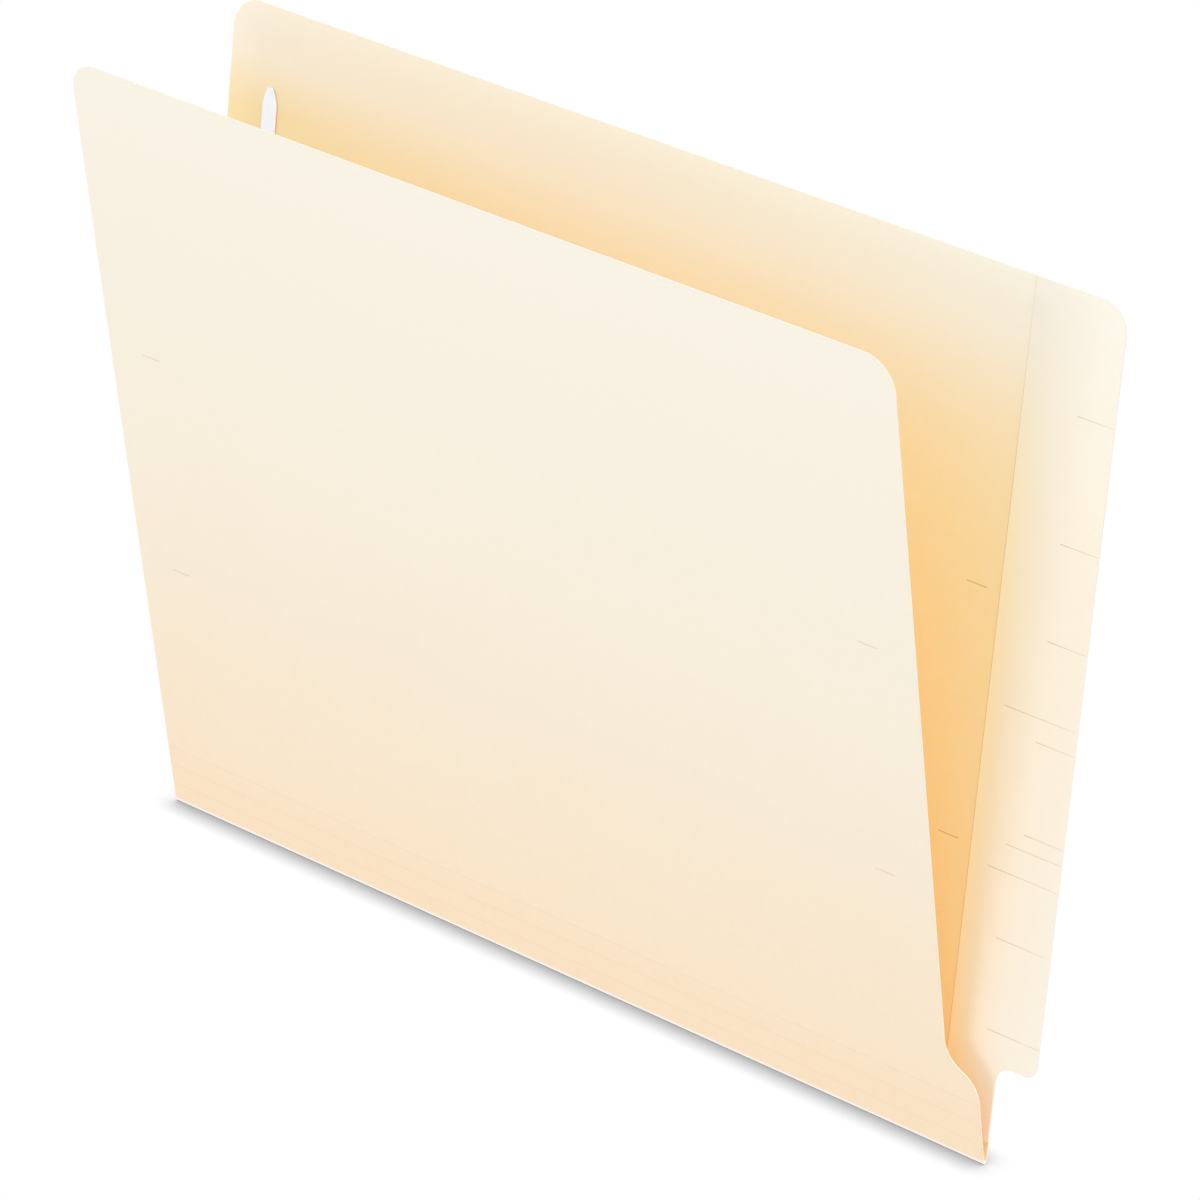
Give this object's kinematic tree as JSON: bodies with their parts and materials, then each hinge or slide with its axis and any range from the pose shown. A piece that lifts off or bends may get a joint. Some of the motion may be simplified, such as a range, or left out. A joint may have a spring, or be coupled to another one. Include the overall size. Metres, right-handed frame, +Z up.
{
  "type": "side tab file folder",
  "caption": "Letter-size side tab file folder in cream manila board, opened to a V, with a reinforced end tab, score lines for expansion, fastener slits and a steel paper fastener.",
  "frame": {"origin": "lowest point of the fold, at the middle of the overall width, where the folder stands", "axes": "+X along the fold towards the tab, +Y from the front panel to the back panel, +Z up"},
  "size_m": [0.3112, 0.064, 0.2393],
  "materials": {
    "manila_board": "matte",
    "manila_ply": "matte",
    "tinned_steel": "satin"
  },
  "bodies": {
    "fold_bead": {"fold_bead": "manila_board"},
    "back_panel": {"back_panel": "manila_board", "tab_reinforcement": "manila_ply", "paper_fastener": "tinned_steel"},
    "spine": {"expansion_strip_1": "manila_board", "expansion_strip_2": "manila_board", "expansion_strip_3": "manila_board"},
    "front_panel": {"front_panel": "manila_board"}
  },
  "joints": [
    {"name": "cover_swing", "type": "hinge", "parent": "fold_bead", "child": "back_panel", "pos_m": [0, 0, 0.00062], "axis": [-1, 0, 0], "range_deg": [-15, 165]},
    {"name": "spine_fold", "type": "hinge", "parent": "fold_bead", "child": "spine", "pos_m": [0, 0, 0.00062], "axis": [1, 0, 0], "range_deg": [0, 90]},
    {"name": "spine_score", "type": "hinge", "parent": "spine", "child": "front_panel", "pos_m": [0, -0.00289, 0.01883], "axis": [1, 0, 0], "range_deg": [-90, 0]}
  ],
  "couplings": [
    {"joint": "spine_score", "follows": "spine_fold", "ratio": -1}
  ]
}
